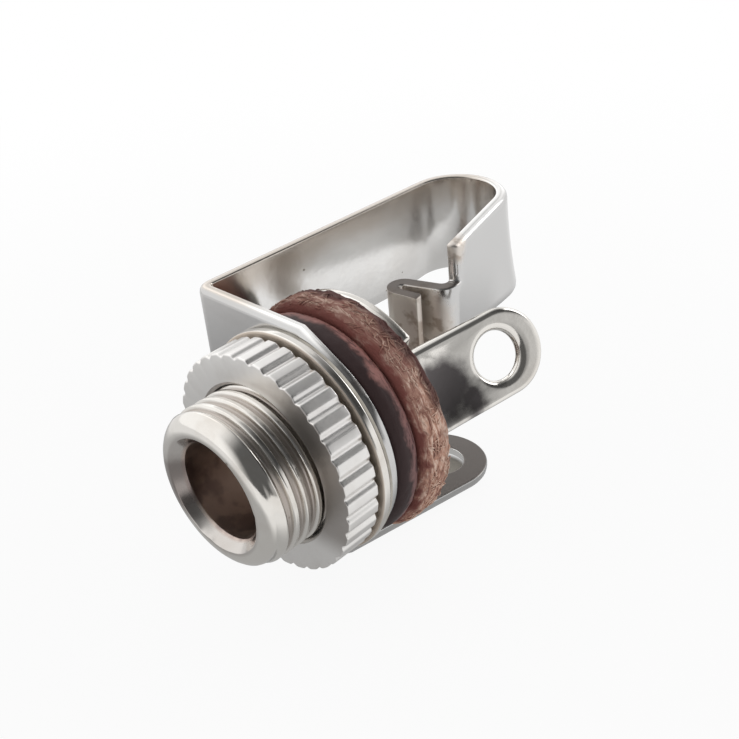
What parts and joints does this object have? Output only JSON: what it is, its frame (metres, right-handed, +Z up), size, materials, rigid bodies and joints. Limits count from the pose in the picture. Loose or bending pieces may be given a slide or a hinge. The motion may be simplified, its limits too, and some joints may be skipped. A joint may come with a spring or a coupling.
{
  "type": "mono jack socket",
  "caption": "Open panel socket for a small mono plug: threaded bush with a knurled ring nut, folded tip spring, fibre washers and a sleeve solder lug.",
  "frame": {"origin": "on the bush axis, on the front face of the collar that seats against a panel", "axes": "+Z up, +Y along the way a plug goes in, so the mouth faces -Y; the spring's arm is at -X and its terminal at -Z"},
  "size_m": [0.0099, 0.0175, 0.0099],
  "materials": {
    "bush_nickel": "turned brass, bright nickel plated",
    "nut_nickel": "knurled brass, nickel plated",
    "spring_nickel": "folded spring sheet, satin nickel plated",
    "lug_nickel": "stamped sheet, bright nickel plated",
    "dark_fibre": "punched vulcanised fibre, dark",
    "red_fibre": "punched vulcanised fibre, fuzzy rim",
    "film": "thin insulating film"
  },
  "bodies": {
    "socket": {"bush": "bush_nickel", "film_washer": "film", "tip_spring": "spring_nickel", "front_fibre_washer": "dark_fibre", "rear_fibre_washer": "red_fibre", "sleeve_lug": "lug_nickel"},
    "nut": {"ring_nut": "nut_nickel"}
  },
  "joints": [
    {"name": "nut_travel", "type": "slide", "parent": "socket", "child": "nut", "axis": [0, -1, 0], "range_m": [-0.00012, 0.0023]}
  ]
}
